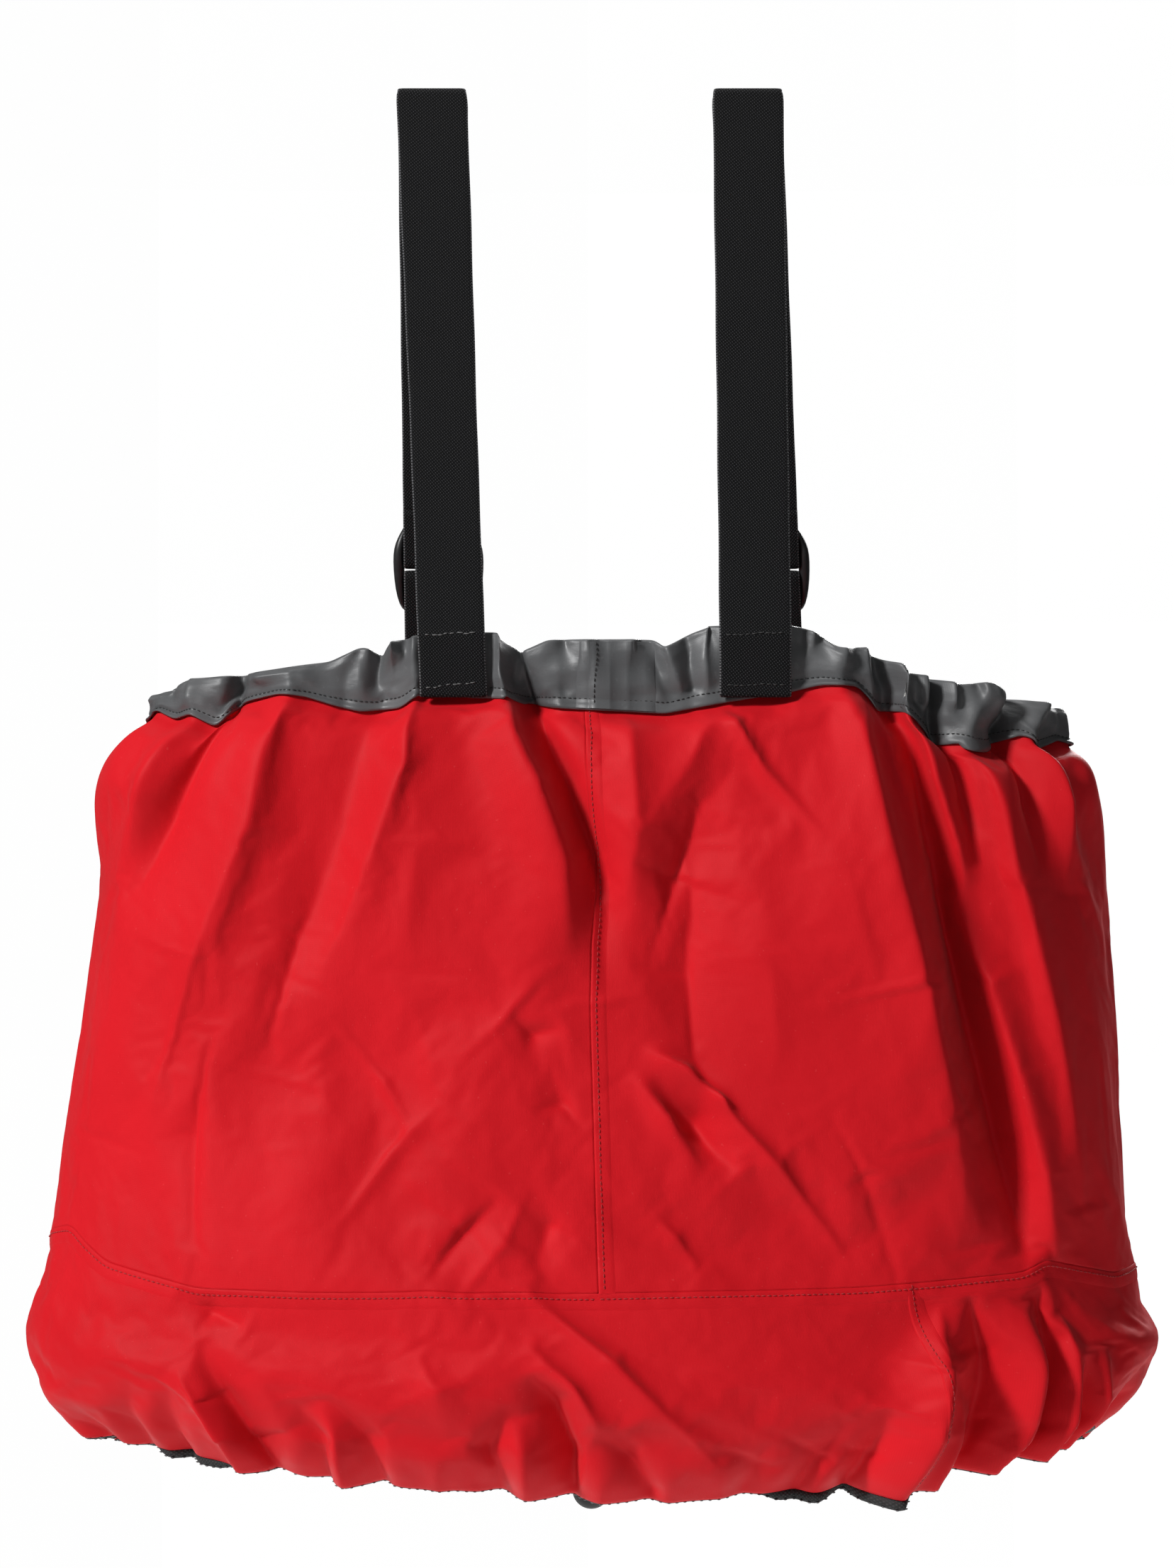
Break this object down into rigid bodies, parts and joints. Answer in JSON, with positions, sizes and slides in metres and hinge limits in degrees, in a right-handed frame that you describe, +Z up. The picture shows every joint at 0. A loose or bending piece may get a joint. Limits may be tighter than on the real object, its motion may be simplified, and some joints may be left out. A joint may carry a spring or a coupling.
{
  "type": "kayak spray skirt",
  "caption": "Fabric spray skirt with an elastic waist tunnel, flared body, gathered grip-tape hem, adjustable elastic shoulder straps with ladder-lock buckles and a grab loop.",
  "frame": {"origin": "the hang point, midway between the two strap tops and level with the underside of their folds", "axes": "+Z up as the skirt hangs; -Y towards the wearer's back; +Y towards the front, with the buckles and the grab loop; +X to the right seen from behind"},
  "size_m": [0.6298, 0.2879, 0.8236],
  "materials": {
    "red_fabric": "coated ripstop, soft sheen",
    "grey_fabric": "coated, shiny",
    "seam_tape": "matt",
    "elastic": "ribbed",
    "shock_cord": "braided",
    "grip_tape": "woven with silicone dots",
    "webbing": "elastic webbing",
    "buckle_plastic": "moulded acetal",
    "ball_plastic": "moulded"
  },
  "bodies": {
    "shoulder_straps": {"left_shoulder_strap": "webbing", "right_shoulder_strap": "webbing"},
    "skirt": {"left_skirt_panel": "red_fabric", "right_skirt_panel": "red_fabric", "back_seam_tape": "seam_tape", "front_seam_tape": "seam_tape", "waistband": "grey_fabric", "waist_elastic": "elastic", "hem_band_front": "red_fabric", "hem_band_back": "red_fabric", "hem_join_tape_right": "seam_tape", "hem_join_tape_left": "seam_tape", "hem_shock_cord": "shock_cord", "hem_grip_tape": "grip_tape", "grab_loop_tab": "webbing", "left_anchor_strap": "webbing", "right_anchor_strap": "webbing"},
    "left_buckle": {"left_ladder_buckle": "buckle_plastic"},
    "right_buckle": {"right_ladder_buckle": "buckle_plastic"},
    "grab_loop": {"grab_loop": "webbing", "grab_ball": "ball_plastic"}
  },
  "joints": [
    {"name": "strap_stretch", "type": "slide", "parent": "shoulder_straps", "child": "skirt", "axis": [0, 0, -1], "range_m": [0, 0.06], "stiffness_N_per_m": 400, "springref_m": -0.0127, "deforming": ["left_shoulder_strap", "right_shoulder_strap"]},
    {"name": "left_buckle_tilt", "type": "hinge", "parent": "skirt", "child": "left_buckle", "pos_m": [-0.08705, 0.07768, -0.27077], "axis": [-1, 0, 0], "range_deg": [0, 35], "stiffness_Nm_per_rad": 0.03, "springref_deg": -5.73, "deforming": ["left_anchor_strap"]},
    {"name": "right_buckle_tilt", "type": "hinge", "parent": "skirt", "child": "right_buckle", "pos_m": [0.10324, 0.07768, -0.27077], "axis": [-1, 0, 0], "range_deg": [0, 35], "stiffness_Nm_per_rad": 0.03, "springref_deg": -5.73, "deforming": ["right_anchor_strap"]},
    {"name": "grab_loop_swing", "type": "hinge", "parent": "skirt", "child": "grab_loop", "pos_m": [0.002, 0.1362, -0.7368], "axis": [1, 0, 0], "range_deg": [0, 90]}
  ]
}
